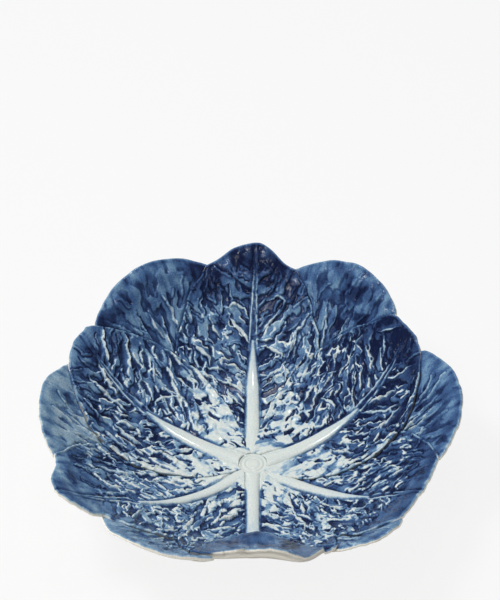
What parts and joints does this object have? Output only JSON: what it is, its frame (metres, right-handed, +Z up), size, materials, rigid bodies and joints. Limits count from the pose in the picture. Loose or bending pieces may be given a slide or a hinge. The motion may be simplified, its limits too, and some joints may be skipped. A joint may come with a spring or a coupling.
{
  "type": "cabbage leaf dish",
  "caption": "Wide glazed earthenware serving bowl built of overlapping cabbage leaves with stout ribs that spread from a stalk boss, on a low foot ring.",
  "frame": {"origin": "on the surface the dish stands on, under the middle of the dish's outline", "axes": "+Z up, +Y towards the tall back leaf, +X to the right as the dish is seen from its front"},
  "size_m": [0.3152, 0.3216, 0.096],
  "materials": {
    "blue_glaze": "glossy brushed glaze over relief",
    "white_glaze": "glossy",
    "cream_glaze": "thin glaze"
  },
  "bodies": {
    "root": {"inner_leaf_back_right": "blue_glaze", "inner_leaf_back": "blue_glaze", "inner_leaf_back_left": "blue_glaze", "inner_leaf_front_left": "blue_glaze", "inner_leaf_front": "blue_glaze", "inner_leaf_front_right": "blue_glaze", "outer_leaf_back_right": "blue_glaze", "outer_leaf_back_left": "blue_glaze", "outer_leaf_left": "blue_glaze", "outer_leaf_front_left": "blue_glaze", "outer_leaf_front_right": "blue_glaze", "outer_leaf_right": "blue_glaze", "stalk_boss": "white_glaze", "base": "cream_glaze", "foot_ring": "cream_glaze"}
  },
  "joints": []
}
